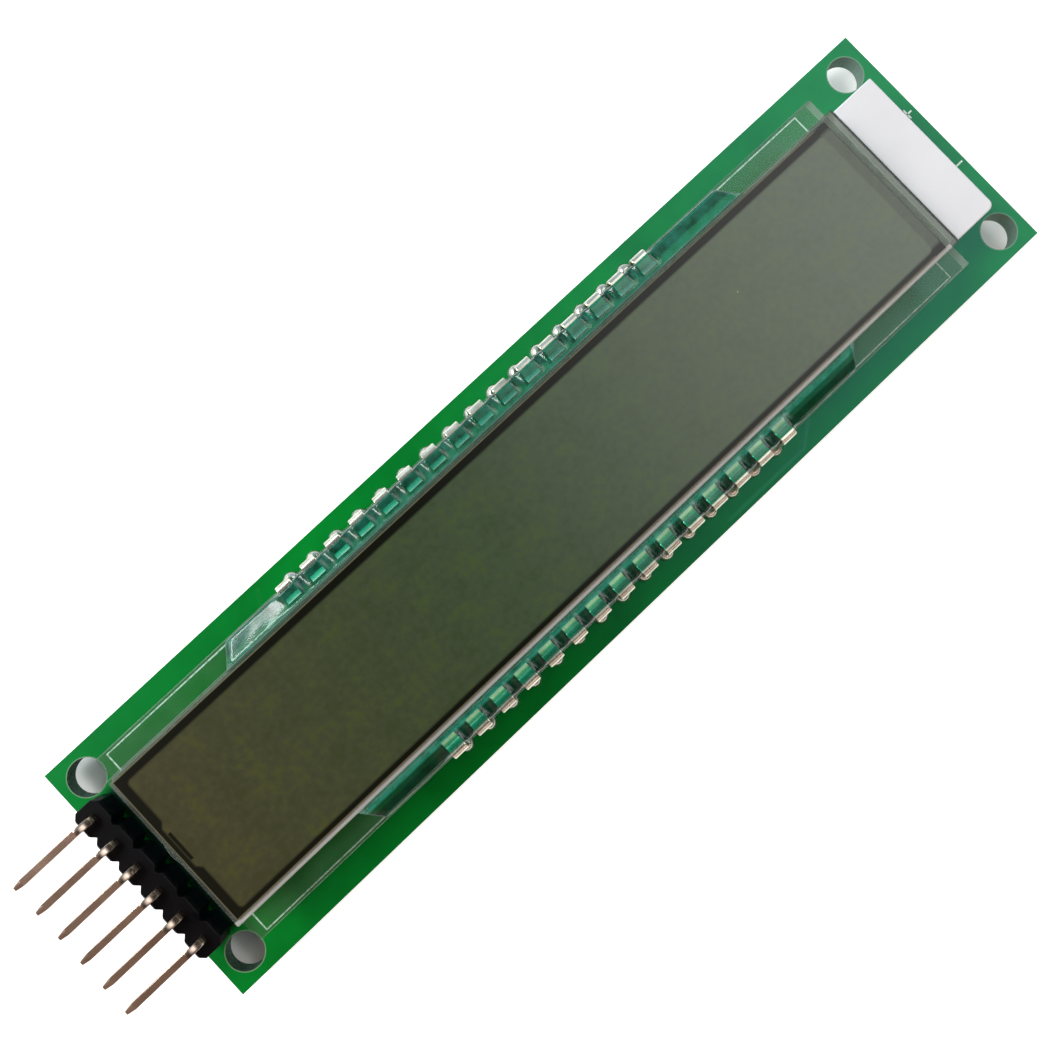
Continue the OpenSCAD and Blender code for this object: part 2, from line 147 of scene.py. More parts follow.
def piece_from(form, name, finish, angle=35, flat_over=math.inf):
    """A mesh object from a bmesh, with one finish: smooth up to the angle in degrees, and flat on faces
    over flat_over square millimetres."""
    mesh = bpy.data.meshes.new(name)
    form.to_mesh(mesh)
    form.free()
    mesh.set_sharp_from_angle(angle=math.radians(angle))
    mesh.polygons.foreach_set("use_smooth", [face.area < flat_over * MM * MM for face in mesh.polygons])
    mesh.materials.append(finish)
    made = bpy.data.objects.new(name, mesh)
    scene.collection.objects.link(made)
    return made


# Finishes

MASK_SHEEN = (0.3, 0.85, 1.0, 1.0)


def solder_mask():
    """Green solder mask over glass-fibre board: a smooth, slightly cloudy green film on both faces,
    bare pale fibre with flecks on the sawn edges, grey-green drilled walls with painted light towards the
    lamp end, a pale ring at each hole, and painted shade in the trench by the header."""
    made, tree, place = blank("solder_mask_on_glass_fibre")
    facing = add(tree, GEOMETRY)
    normal = add(tree, SPLIT, None, {0: facing.outputs["Normal"]})
    upright = add(tree, MATH, ABSOLUTE, {0: normal.outputs["Z"]})
    on_face = add(tree, MATH, OVER, {0: upright.outputs[0], 1: 0.5})
    # Cloudy film: clouds about 7 mm across
    cloud = add(tree, NOISE, None, {"Vector": place, "Scale": 1 / (7 * MM), "Detail": 3.0})
    film = add(tree, RAMP, {"stops": [(0.3, "#00691a"), (0.7, "#017d24")]}, {0: cloud.outputs[0]})
    # Fibre flecks about 0.2 mm wide, drawn coarser than real threads so that they show
    fleck = add(tree, NOISE, None, {"Vector": place, "Scale": 1 / (0.2 * MM), "Detail": 2.0})
    fibre = add(tree, RAMP, {"stops": [(0.35, "#8d9c6c"), (0.55, "#b0ba90"), (0.75, "#d6dac0")]},
                {0: fleck.outputs[0]})
    drilled = add(tree, RAMP, {"stops": [(0.3, "#2f4434"), (0.7, "#566f5c")]}, {0: fleck.outputs[0]})
    # Painted light: the drilled walls are painted paler towards the lamp end
    split = add(tree, SPLIT, None, {0: place})
    lamp_end_light = add(tree, RANGE, None, {0: split.outputs["X"], 1: 0.0, 2: 40 * MM, 3: 0.0, 4: 0.5})
    bored = add(tree, MIX, COLOURS, {0: lamp_end_light.outputs[0], 6: drilled.outputs[0], 7: linear("#93a99c")})
    # Distance from the nearest screw hole's axis
    quarter = add(tree, VECTOR, ABSOLUTE, {0: place})
    flat_quarter = add(tree, VECTOR, MULTIPLY, {0: quarter.outputs[0], 1: (1, 1, 0)})
    span = add(tree, VECTOR, {"operation": "DISTANCE"},
               {0: flat_quarter.outputs[0], 1: (HOLE_X * MM, HOLE_Y * MM, 0)})
    in_hole = add(tree, MATH, UNDER, {0: span.outputs["Value"], 1: (HOLE_R + 0.05) * MM})
    rim = add(tree, RANGE, None,
              {0: span.outputs["Value"], 1: (HOLE_R + 0.03) * MM, 2: (HOLE_R + 0.1) * MM, 3: 0.5, 4: 0.0})
    ringed = add(tree, MIX, COLOURS, {0: rim.outputs[0], 6: film.outputs[0], 7: linear("#a3b09a")})
    walls = add(tree, MIX, COLOURS, {0: in_hole.outputs[0], 6: fibre.outputs[0], 7: bored.outputs[2]})
    colour = add(tree, MIX, COLOURS, {0: on_face.outputs[0], 6: walls.outputs[2], 7: ringed.outputs[2]})
    # Painted shade: the narrow trench between the header and the cell, 42 mm from the middle, is painted dark
    # on the viewing side, where the header and the cell shade it
    from_trench = add(tree, MATH, PLUS, {0: split.outputs["X"], 1: 42 * MM})
    along = add(tree, MATH, ABSOLUTE, {0: from_trench.outputs[0]})
    across = add(tree, MATH, ABSOLUTE, {0: split.outputs["Y"]})
    narrow = add(tree, RANGE, None, {0: along.outputs[0], 1: 1.6 * MM, 2: 1.2 * MM})
    long = add(tree, RANGE, None, {0: across.outputs[0], 1: 7.9 * MM, 2: 7.2 * MM, 4: 0.93})
    viewed = add(tree, MATH, OVER, {0: normal.outputs["Z"], 1: 0.5})
    inside = add(tree, MATH, MULTIPLY, {0: narrow.outputs[0], 1: long.outputs[0]})
    trench_shade = add(tree, MATH, MULTIPLY, {0: inside.outputs[0], 1: viewed.outputs[0]})
    shaded = add(tree, MIX, COLOURS, {0: trench_shade.outputs[0], 6: colour.outputs[2], 7: linear("#020903")})
    rough = add(tree, RANGE, None, {0: on_face.outputs[0], 3: 0.75, 4: 0.24})
    grain = add(tree, NOISE, None, {"Vector": place, "Scale": 1 / (0.9 * MM), "Detail": 2.0})
    bump = add(tree, "ShaderNodeBump", None,
               {"Strength": 0.12, "Distance": 0.02 * MM, "Height": grain.outputs[0]})
    show(tree, add(tree, SURFACE, None, {
        "Base Color": shaded.outputs[2], "Roughness": rough.outputs[0], "IOR": 1.5,
        "Specular IOR Level": 0.36, "Specular Tint": MASK_SHEEN, "Normal": bump.outputs[0]}))
    return made


def masked_copper():
    """Copper tracks under the same mask: a lighter, yellower green than the board, and just proud of it."""
    made, tree, place = blank("solder_mask_over_copper")
    cloud = add(tree, NOISE, None, {"Vector": place, "Scale": 1 / (5 * MM), "Detail": 3.0})
    film = add(tree, RAMP, {"stops": [(0.3, "#03701d"), (0.7, "#078229")]}, {0: cloud.outputs[0]})
    show(tree, add(tree, SURFACE, None, {
        "Base Color": film.outputs[0], "Roughness": 0.25, "IOR": 1.5, "Specular Tint": MASK_SHEEN}))
    return made


def board_ink():
    """Screen-printed white legend ink: matt, a little thin and speckled where the mesh left gaps."""
    made, tree, place = blank("screen_printed_ink")
    speck = add(tree, NOISE, None, {"Vector": place, "Scale": 1 / (0.25 * MM), "Detail": 3.0})
    ink = add(tree, RAMP, {"stops": [(0.35, "#9fc0a8"), (0.55, "#e9efe9")]}, {0: speck.outputs[0]})
    show(tree, add(tree, SURFACE, None, {
        "Base Color": ink.outputs[0], "Roughness": 0.65, "IOR": 1.5}))
    return made


def moulded(name, dark, light, roughness, clouds, grain, strength, sheen=0.5):
    """A moulded plastic: one body colour that clouds a little, over a fine eroded grain, with more or less
    sheen. The clouds and the grain are sizes in millimetres."""
    made, tree, place = blank(name)
    cloud = add(tree, NOISE, None, {"Vector": place, "Scale": 1 / (clouds * MM), "Detail": 3.0})
    body = add(tree, RAMP, {"stops": [(0.3, dark), (0.7, light)]}, {0: cloud.outputs[0]})
    fine = add(tree, NOISE, None, {"Vector": place, "Scale": 1 / (grain * MM), "Detail": 4.0})
    gloss = add(tree, RANGE, None, {0: fine.outputs[0], 3: roughness - 0.06, 4: roughness + 0.06})
    bump = add(tree, "ShaderNodeBump", None,
               {"Strength": strength, "Distance": 0.02 * MM, "Height": fine.outputs[0]})
    show(tree, add(tree, SURFACE, None, {
        "Base Color": body.outputs[0], "Roughness": gloss.outputs[0], "IOR": 1.5, "Specular IOR Level": sheen,
        "Normal": bump.outputs[0]}))
    return made


def plated(name, dark, light, roughness, stain):
    """A plated metal strip or wire: bright, with fine drawing marks and soft stains; stain is their size in
    millimetres."""
    made, tree, place = blank(name)
    cloud = add(tree, NOISE, None, {"Vector": place, "Scale": 1 / (stain * MM), "Detail": 4.0})
    tone = add(tree, RAMP, {"stops": [(0.3, dark), (0.65, light)]}, {0: cloud.outputs[0]})
    fine = add(tree, NOISE, None, {"Vector": place, "Scale": 1 / (0.12 * MM), "Detail": 3.0})
    gloss = add(tree, RANGE, None, {0: fine.outputs[0], 3: roughness - 0.07, 4: roughness + 0.09})
    bump = add(tree, "ShaderNodeBump", None,
               {"Strength": 0.1, "Distance": 0.01 * MM, "Height": fine.outputs[0]})
    show(tree, add(tree, SURFACE, None, {
        "Base Color": tone.outputs[0], "Metallic": 1.0, "Roughness": gloss.outputs[0],
        "Normal": bump.outputs[0]}))
    return made


def glossed(tree, facing, inner, roughness, sheen=(0.5, 0.5, 0.5, 1)):
    """Ends a clear material: the inner shader under a polished outer face, which mirrors more at a slant.
    The mirror has twice the share and half the brightness of a real one, which leaves less noise."""
    mirror = add(tree, SURFACE, None, {"Base Color": sheen, "Metallic": 1.0, "Roughness": roughness})
    glance = add(tree, "ShaderNodeFresnel", None, {"IOR": 1.5})
    outside = add(tree, MATH, MINUS, {0: 1.0, 1: facing.outputs["Backfacing"]})
    bare = add(tree, MATH, MULTIPLY, {0: glance.outputs[0], 1: outside.outputs[0]})
    share = add(tree, MATH, {"operation": "MULTIPLY", "use_clamp": True}, {0: bare.outputs[0], 1: 2.0})
    show(tree, add(tree, LAYERS, None, {0: share.outputs[0], 1: inner.outputs[0], 2: mirror.outputs[0]}))


def clear(name, tint, edge, edge_share, haze, lit_rim=0.0):
    """A clear plate with a polished face and ground edges: the face passes light with a faint tint and
    mirrors a little, while the side faces look pale with painted light, strong at the lamp end and weak at
    the header end. A painted lit rim shows on the side away from the window, and the upper part of the end
    face at the lamp end is painted dark as a shadow gap. A thin haze lies over it."""
    made, tree, place = blank(name)
    facing = add(tree, GEOMETRY)
    normal = add(tree, SPLIT, None, {0: facing.outputs["Normal"]})
    split = add(tree, SPLIT, None, {0: place})
    upright = add(tree, MATH, ABSOLUTE, {0: normal.outputs["Z"]})
    side = add(tree, RANGE, None, {0: upright.outputs[0], 1: 0.95, 2: 0.55, 3: 0.0, 4: edge_share})
    # Painted light: sides seen from within are painted pale at the lamp end only, and sides seen from outside
    # are dimmer at the header end
    lamp_end = add(tree, RANGE, None, {0: split.outputs["X"], 1: 34 * MM, 2: 35 * MM, 3: 0.12, 4: 1.8})
    outer = add(tree, RANGE, None, {0: split.outputs["X"], 1: -40 * MM, 2: -38 * MM, 3: 0.35, 4: 1.0})
    seen = add(tree, MIX, None,
               {0: facing.outputs["Backfacing"], 2: outer.outputs[0], 3: lamp_end.outputs[0]})
    smear = add(tree, NOISE, None, {"Vector": place, "Scale": 1 / (3 * MM), "Detail": 4.0})
    film = add(tree, RANGE, None, {0: smear.outputs[0], 1: 0.35, 2: 0.75, 3: 0.0, 4: haze})
    veil = add(tree, MATH, {"operation": "MULTIPLY_ADD", "use_clamp": True},
               {0: side.outputs[0], 1: seen.outputs[0], 2: film.outputs[0]})
    rim = add(tree, RANGE, None, {0: split.outputs["Y"], 1: -6.9 * MM, 2: -7.0 * MM, 3: 0.0, 4: lit_rim})
    pale = add(tree, MATH, LARGER, {0: veil.outputs[0], 1: rim.outputs[0]})
    # Painted shade: the upper part of the end face at the lamp end is painted dark, for the shadow gap by the
    # lamp cap
    shadow_gap = add(tree, RANGE, None, {0: split.outputs["Z"], 1: 7.1 * MM, 2: 7.2 * MM})
    far = add(tree, MATH, OVER, {0: split.outputs["X"], 1: 36 * MM})
    dark = add(tree, MATH, MULTIPLY, {0: shadow_gap.outputs[0], 1: far.outputs[0]})
    ground = add(tree, MIX, COLOURS, {0: dark.outputs[0], 6: linear(edge), 7: linear("#303136")})
    through = add(tree, "ShaderNodeBsdfTransparent", None, {0: linear(tint)})
    body = add(tree, SURFACE, None, {"Base Color": ground.outputs[2], "Roughness": 0.45, "IOR": 1.5})
    inner = add(tree, LAYERS, None, {0: pale.outputs[0], 1: through.outputs[0], 2: body.outputs[0]})
    polish = add(tree, RANGE, None, {0: upright.outputs[0], 1: 0.98, 2: 0.8, 3: 0.3, 4: 0.55})
    sheen = add(tree, RANGE, None, {0: upright.outputs[0], 1: 0.98, 2: 0.8, 3: 0.28, 4: 0.15})
    glossed(tree, facing, inner, polish.outputs[0], sheen.outputs[0])
    return made


def potting_resin():
    """Clear potting resin with a green cast: a wet gloss, pale where it is thin over the tips of the arms,
    deep green where it fills the hollow behind the crease, with faint clouds of fine bubbles, thicker on the
    upper side as a painted veil of reflected light, and a painted glow in the foot along the front glass."""
    made, tree, place = blank("green_potting_resin")
    facing = add(tree, GEOMETRY)
    split = add(tree, SPLIT, None, {0: place})
    shifted = add(tree, MATH, PLUS, {0: split.outputs["Y"], 1: 0.12 * MM})
    across = add(tree, MATH, ABSOLUTE, {0: shifted.outputs[0]})
    depth = add(tree, RANGE, None, {0: across.outputs[0], 1: 8.18 * MM, 2: 8.4 * MM})
    tint = add(tree, MIX, COLOURS, {0: depth.outputs[0], 6: linear("#cef4ea"), 7: linear("#48bba2")})
    through = add(tree, "ShaderNodeBsdfTransparent", None, {0: tint.outputs[2]})
    bubbles = add(tree, NOISE, None, {"Vector": place, "Scale": 1 / (0.8 * MM), "Detail": 4.0})
    # Painted reflection: the bubble clouds are thicker on the upper side, standing for the veil of light over
    # that bead
    bubbles_and_painted_veil = add(tree, RANGE, None, {0: split.outputs["Y"], 1: -1 * MM, 2: 1 * MM, 3: 0.05, 4: 0.28})
    cloud = add(tree, RANGE, None, {0: bubbles.outputs[0], 1: 0.3, 2: 0.75, 3: 0.01, 4: bubbles_and_painted_veil.outputs[0]})
    # Painted light: the foot along the front glass is painted pale over about 0.2 mm, more on the lower side,
    # for the light it gathers
    foot = add(tree, RANGE, None, {0: across.outputs[0], 1: 7.72 * MM, 2: 7.95 * MM, 3: 1.0, 4: 0.0})
    lower = add(tree, RANGE, None, {0: split.outputs["Y"], 1: -1 * MM, 2: 1 * MM, 3: 1.1, 4: 0.3})
    painted_foot_light = add(tree, MATH, MULTIPLY, {0: foot.outputs[0], 1: lower.outputs[0]})
    speckled = add(tree, MATH, MULTIPLY, {0: painted_foot_light.outputs[0], 1: bubbles.outputs[0]})
    bubbles_and_painted_light = add(tree, MATH, LARGER, {0: cloud.outputs[0], 1: speckled.outputs[0]})
    body = add(tree, SURFACE, None, {"Base Color": linear("#25a58a"), "Roughness": 0.4, "IOR": 1.5})
    inner = add(tree, LAYERS, None, {0: bubbles_and_painted_light.outputs[0], 1: through.outputs[0], 2: body.outputs[0]})
    glossed(tree, facing, inner, 0.16)
    return made


def polarizer_film():
    """Polarizing film: smooth and dark, brownish at the header end and greener past it, with a black frame
    round its edge, broken by the filling port at the header end, and faint clouds and dust."""
    made, tree, place = blank("polarizing_film")
    split = add(tree, SPLIT, None, {0: place})
    # Clouds about 2.5 mm and mottle about 0.6 mm across
    cloud = add(tree, NOISE, None, {"Vector": place, "Scale": 1 / (2.5 * MM), "Detail": 4.0})
    mottle = add(tree, NOISE, None, {"Vector": place, "Scale": 1 / (0.6 * MM), "Detail": 2.0})
    blend = add(tree, MATH, PLUS, {0: cloud.outputs[0], 1: mottle.outputs[0]})
    tone = add(tree, MATH, MULTIPLY, {0: blend.outputs[0], 1: 0.5})
    brown = add(tree, RAMP, {"stops": [(0.36, "#36351b"), (0.5, "#3a3823"), (0.64, "#41401e")]},
                {0: tone.outputs[0]})
    green = add(tree, RAMP, {"stops": [(0.36, "#344228"), (0.5, "#394630"), (0.64, "#3c4b2a")]},
                {0: tone.outputs[0]})
    along = add(tree, RANGE, None, {0: split.outputs["X"], 1: -39 * MM, 2: -8 * MM})
    olive = add(tree, MIX, COLOURS, {0: along.outputs[0], 6: brown.outputs[0], 7: green.outputs[0]})
    # Frame: past a rounded box, given by its centre, its half size less the corner, and the corner
    from_mid = add(tree, VECTOR, MINUS, {0: place, 1: (-2.24 * MM, -0.11 * MM, 0)})
    quarter = add(tree, VECTOR, ABSOLUTE, {0: from_mid.outputs[0]})
    over = add(tree, VECTOR, MINUS, {0: quarter.outputs[0], 1: (36.39 * MM, 6.0 * MM, 1.0)})
    past = add(tree, VECTOR, LARGER, {0: over.outputs[0], 1: (0, 0, 0)})
    reach = add(tree, VECTOR, {"operation": "LENGTH"}, {0: past.outputs[0]})
    # Filling port: the frame steps back over 4 mm at the header end, and a short bar stands in the step
    aside = add(tree, MATH, ABSOLUTE, {0: split.outputs["Y"]})
    in_port = add(tree, RANGE, None, {0: aside.outputs[0], 1: 2.3 * MM, 2: 1.85 * MM, 4: 0.38 * MM})
    header_end = add(tree, MATH, UNDER, {0: split.outputs["X"], 1: 0.0})
    step = add(tree, MATH, MULTIPLY, {0: in_port.outputs[0], 1: header_end.outputs[0]})
    back = add(tree, MATH, MINUS, {0: reach.outputs["Value"], 1: step.outputs[0]})
    ring = add(tree, RANGE, None, {0: back.outputs[0], 1: 0.22 * MM, 2: 0.44 * MM})
    # The frame is hardly darker than the film at the lamp end
    lamp_end = add(tree, RANGE, None, {0: split.outputs["X"], 1: 34.2 * MM, 2: 34.5 * MM})
    middle = add(tree, RANGE, None, {0: aside.outputs[0], 1: 6.45 * MM, 2: 6.1 * MM})
    faint = add(tree, MATH, MULTIPLY, {0: lamp_end.outputs[0], 1: middle.outputs[0]})
    notched = add(tree, MATH, {"operation": "MULTIPLY_ADD", "use_clamp": True},
                  {0: faint.outputs[0], 1: -0.75, 2: ring.outputs[0]})
    near_bar = add(tree, MATH, PLUS, {0: split.outputs["X"], 1: 39.17 * MM})
    off_bar = add(tree, MATH, ABSOLUTE, {0: near_bar.outputs[0]})
    bar_width = add(tree, RANGE, None, {0: off_bar.outputs[0], 1: 0.18 * MM, 2: 0.1 * MM})
    bar_length = add(tree, RANGE, None, {0: aside.outputs[0], 1: 1.35 * MM, 2: 1.25 * MM})
    bar = add(tree, MATH, MULTIPLY, {0: bar_width.outputs[0], 1: bar_length.outputs[0]})
    dark = add(tree, MATH, LARGER, {0: notched.outputs[0], 1: bar.outputs[0]})
    framed = add(tree, MIX, COLOURS, {0: dark.outputs[0], 6: olive.outputs[2], 7: linear("#0d0f07")})
    # Cut edge: a paler line about 0.1 mm wide round the film
    edge_off = add(tree, VECTOR, MINUS, {0: place, 1: (FILM_X * MM, 0, 0)})
    edge_half = add(tree, VECTOR, ABSOLUTE, {0: edge_off.outputs[0]})
    edge_in = add(tree, VECTOR, MINUS, {0: edge_half.outputs[0], 1: (FILM_HALF_L * MM, FILM_HALF_W * MM, 0)})
    edge_xy = add(tree, SPLIT, None, {0: edge_in.outputs[0]})
    edge_near = add(tree, MATH, LARGER, {0: edge_xy.outputs["X"], 1: edge_xy.outputs["Y"]})
    rim = add(tree, RANGE, None, {0: edge_near.outputs[0], 1: -0.12 * MM, 2: -0.05 * MM})
    cut = add(tree, MIX, COLOURS, {0: lamp_end.outputs[0], 6: linear("#5f5a42"), 7: linear("#16181a")})
    rimmed = add(tree, MIX, COLOURS, {0: rim.outputs[0], 6: framed.outputs[2], 7: cut.outputs[2]})
    speck = add(tree, "ShaderNodeTexVoronoi", None, {"Vector": place, "Scale": 1 / (5 * MM)})
    dust = add(tree, MATH, UNDER, {0: speck.outputs["Distance"], 1: 0.012})
    dusty = add(tree, MIX, COLOURS, {0: dust.outputs[0], 6: rimmed.outputs[2], 7: linear("#8d8c78")})
    # The frame is duller than the film, so that it stays dark under the glow
    sheen = add(tree, RANGE, None, {0: dark.outputs[0], 3: 0.5, 4: 0.24})
    show(tree, add(tree, SURFACE, None, {
        "Base Color": dusty.outputs[2], "Roughness": 0.2, "IOR": 1.5,
        "Specular IOR Level": sheen.outputs[0]}))
    return made


def capped_chip(name, dark, light, middle):
    """A chip part: fired ceramic between two dipped tin ends, which start about 0.6 mm off its middle."""
    made, tree, place = blank(name)
    from_mid = add(tree, VECTOR, MINUS, {0: place, 1: (middle * MM, 0, 0)})
    split = add(tree, SPLIT, None, {0: from_mid.outputs[0]})
    off = add(tree, MATH, ABSOLUTE, {0: split.outputs["X"]})
    wave = add(tree, NOISE, None, {"Vector": place, "Scale": 1 / (0.4 * MM), "Detail": 2.0})
    shifted = add(tree, MATH, {"operation": "MULTIPLY_ADD"},
                  {0: wave.outputs[0], 1: 0.15 * MM, 2: off.outputs[0]})
    tin = add(tree, MATH, OVER, {0: shifted.outputs[0], 1: 0.68 * MM})
    fired = add(tree, RAMP, {"stops": [(0.3, dark), (0.75, light)]}, {0: wave.outputs[0]})
    colour = add(tree, MIX, COLOURS, {0: tin.outputs[0], 6: fired.outputs[0], 7: linear("#c6c6c4")})
    show(tree, add(tree, SURFACE, None, {
        "Base Color": colour.outputs[2], "Metallic": tin.outputs[0], "Roughness": 0.35}))
    return made


def floor_paper():
    """White studio table, lit from inside: matt, with hardly any tooth."""
    made, tree, place = blank("studio_paper")
    tooth = add(tree, NOISE, None, {"Vector": place, "Scale": 1 / (2 * MM), "Detail": 2.0})
    tone = add(tree, RAMP, {"stops": [(0.3, "#d8d8d8"), (0.7, "#dcdcdc")]}, {0: tooth.outputs[0]})
    # The board keeps the light off the floor under it, where the glow all but stops and the paper is shaded
    shifted = add(tree, VECTOR, MINUS, {0: place, 1: (0.35 * MM, 0.1 * MM, 0)})
    from_mid = add(tree, VECTOR, ABSOLUTE, {0: shifted.outputs[0]})
    past = add(tree, VECTOR, MINUS, {0: from_mid.outputs[0], 1: (47.4 * MM, 12 * MM, 0)})
    ways = add(tree, SPLIT, None, {0: past.outputs[0]})
    outside = add(tree, MATH, LARGER, {0: ways.outputs["X"], 1: ways.outputs["Y"]})
    # Both shades ease towards the lamp end and the upper side
    slope = add(tree, VECTOR, {"operation": "DOT_PRODUCT"}, {0: place, 1: (1, 3, 0)})
    stray = add(tree, RANGE, None, {0: slope.outputs["Value"], 1: -15 * MM, 2: 40 * MM, 3: 0.0, 4: 0.37})
    glow = add(tree, RANGE, None, {0: outside.outputs[0], 1: 0.0, 2: 0.4 * MM, 3: stray.outputs[0], 4: 0.75})
    lee = add(tree, RANGE, None, {0: slope.outputs["Value"], 1: -72 * MM, 2: 15 * MM, 3: 0.45, 4: 1.0})
    dim = add(tree, RANGE, None, {0: outside.outputs[0], 1: 0.0, 2: 0.4 * MM, 3: lee.outputs[0], 4: 1.0})
    shaded = add(tree, VECTOR, {"operation": "SCALE"}, {0: tone.outputs[0], "Scale": dim.outputs[0]})
    show(tree, add(tree, SURFACE, None, {
        "Base Color": shaded.outputs[0], "Roughness": 0.95, "IOR": 1.3,
        "Emission Color": linear("#fbfcfd"), "Emission Strength": glow.outputs[0]}))
    return made


mask = solder_mask()
copper = masked_copper()
ink = board_ink()
black_moulding = moulded("glossy_black_nylon", "#030305", "#07070a", roughness=0.3, clouds=3, grain=0.2,
                         strength=0.25, sheen=0.12)
white_moulding = moulded("matt_white_abs", "#dcdcde", "#e2e2e4", roughness=0.62, clouds=5, grain=0.25,
                         strength=0.3)
chip_moulding = moulded("moulded_chip_epoxy", "#141517", "#1d1e20", roughness=0.6, clouds=2, grain=0.15,
                        strength=0.5)
white_film = moulded("white_reflector_film", "#e4e6e0", "#f0f0ec", roughness=0.5, clouds=4, grain=0.3,
                     strength=0.1)
strip_mask = moulded("white_lamp_strip_mask", "#d9d5bd", "#e6e2c8", roughness=0.5, clouds=2, grain=0.2,
                     strength=0.1)
lamp_gel = moulded("phosphor_silicone", "#e8d987", "#f4e9a8", roughness=0.35, clouds=0.8, grain=0.1,
                   strength=0.2)
seal_print = moulded("printed_epoxy_seal", "#767b70", "#8d9286", roughness=0.5, clouds=1, grain=0.1,
                     strength=0.1)
bright_tin = plated("tin_plated_bronze_strip", "#b9b6a6", "#dedccb", roughness=0.28, stain=1.2)
header_tin = plated("tin_plated_brass_pin", "#a08b7d", "#bda99a", roughness=0.2, stain=2.0)
wire_tin = plated("tinned_wire", "#b9b9ba", "#cfcfcf", roughness=0.3, stain=1.0)
solder = plated("bright_solder", "#bcb8ac", "#dad7cc", roughness=0.26, stain=0.8)
glass = clear("float_glass", "#e4f1ea", "#d0d6d0", edge_share=0.3, haze=0.03)
front_pane = clear("float_glass_with_lit_rim", "#eef5f0", "#c9c7c2", edge_share=0.35, haze=0.04,
                   lit_rim=0.6)
acrylic = clear("polished_acrylic", "#f2f6f3", "#c9d0d0", edge_share=0.5, haze=0.15)
adhesive = clear("clear_port_adhesive", "#eef5ef", "#e6ece4", edge_share=1.6, haze=0.05)
resin = potting_resin()
film = polarizer_film()
resistor_body = capped_chip("glazed_resistor", "#17181b", "#2a2c30", CHIP_X + 10)
capacitor_body = capped_chip("fired_capacitor", "#a8845a", "#d8c49a", CHIP_X - 10)

SLOTS = {part["node"]: part["material_slot"] for part in frame["record"]["subparts"]}


# Geometry Nodes trees: a bent strip swept along wire paths and set in a row, and any mesh set in a row

def socketed(name, inputs):
    """A new Geometry Nodes tree with a geometry output and the named inputs: the tree and its input node."""
    tree = bpy.data.node_groups.new(name, "GeometryNodeTree")
    tree.interface.new_socket("Geometry", in_out="OUTPUT", socket_type="NodeSocketGeometry")
    for label, kind in inputs:
        tree.interface.new_socket(label, in_out="INPUT", socket_type=kind)
    return tree, add(tree, "NodeGroupInput")


ROW_INPUTS = [("Geometry", "NodeSocketGeometry"), ("Count", "NodeSocketInt"), ("First", "NodeSocketVector"),
              ("Step", "NodeSocketVector"), ("Finish", "NodeSocketMaterial")]
STRIP_INPUTS = [("Width", "NodeSocketFloat"), ("Thickness", "NodeSocketFloat"), ("Edge", "NodeSocketFloat")]


def set_row(tree, given, shape):
    """Sets a shape in a row from the tree's inputs, as real geometry with its finish."""
    line = add(tree, "GeometryNodeMeshLine", {"mode": "OFFSET"}, {
        "Count": given.outputs["Count"], "Start Location": given.outputs["First"],
        "Offset": given.outputs["Step"]})
    copies = add(tree, "GeometryNodeInstanceOnPoints", None, {"Points": line.outputs[0], "Instance": shape})
    real = add(tree, "GeometryNodeRealizeInstances", None, {0: copies.outputs[0]})
    done = add(tree, "GeometryNodeSetMaterial", None,
               {"Geometry": real.outputs[0], "Material": given.outputs["Finish"]})
    add(tree, "NodeGroupOutput", None, {0: done.outputs[0]})
    return tree


def strip_tree():
    """The tree that sweeps a strip with eased edges along wire paths and sets it in a row."""
    tree, given = socketed("bent_strip_row", ROW_INPUTS + STRIP_INPUTS)
    path = add(tree, "GeometryNodeMeshToCurve", None, {"Mesh": given.outputs["Geometry"]})
    section = add(tree, "GeometryNodeCurvePrimitiveQuadrilateral", None, {
        "Width": given.outputs["Width"], "Height": given.outputs["Thickness"]})
    profile = add(tree, "GeometryNodeFilletCurve", {"mode": "POLY"}, {
        "Curve": section.outputs[0], "Count": 2, "Radius": given.outputs["Edge"]})
    solid = add(tree, "GeometryNodeCurveToMesh", None, {
        "Curve": path.outputs[0], "Profile Curve": profile.outputs[0], "Fill Caps": True})
    return set_row(tree, given, solid.outputs[0])


def mesh_tree():
    """The tree that sets a mesh in a row."""
    tree, given = socketed("mesh_row", ROW_INPUTS)
    return set_row(tree, given, given.outputs["Geometry"])


STRIP_ROW = strip_tree()
MESH_ROW = mesh_tree()


def run_tree(tree, mesh, values):
    """The plain mesh that a tree makes of a mesh with these inputs."""
    carrier = bpy.data.objects.new("carrier", mesh)
    scene.collection.objects.link(carrier)
    modifier = carrier.modifiers.new("row", "NODES")
    modifier.node_group = tree
    for item in tree.interface.items_tree:
        if item.in_out == "INPUT" and item.name in values:
            modifier[item.identifier] = values[item.name]
    made = bpy.data.meshes.new_from_object(carrier.evaluated_get(bpy.context.evaluated_depsgraph_get()))
    carrier.modifiers.clear()
    bpy.data.objects.remove(carrier)
    return made


def wire(paths):
    """A mesh of open wire paths, given as lists of points in millimetres."""
    points, edges = [], []
    for path in paths:
        edges += [(len(points) + i, len(points) + i + 1) for i in range(len(path) - 1)]
        points += [Vector(p) * MM for p in path]
    mesh = bpy.data.meshes.new("wire")
    mesh.from_pydata(points, edges, [])
    return mesh


def strips(paths, width, thickness, edge, finish, count=1, first=(0, 0, 0), step=(0, 0, 0)):
    """The mesh of strips along the paths, repeated in a row; sizes in millimetres."""
    return run_tree(STRIP_ROW, wire(paths), {
        "Count": count, "First": Vector(first) * MM, "Step": Vector(step) * MM, "Finish": finish,
        "Width": width * MM, "Thickness": thickness * MM, "Edge": edge * MM})


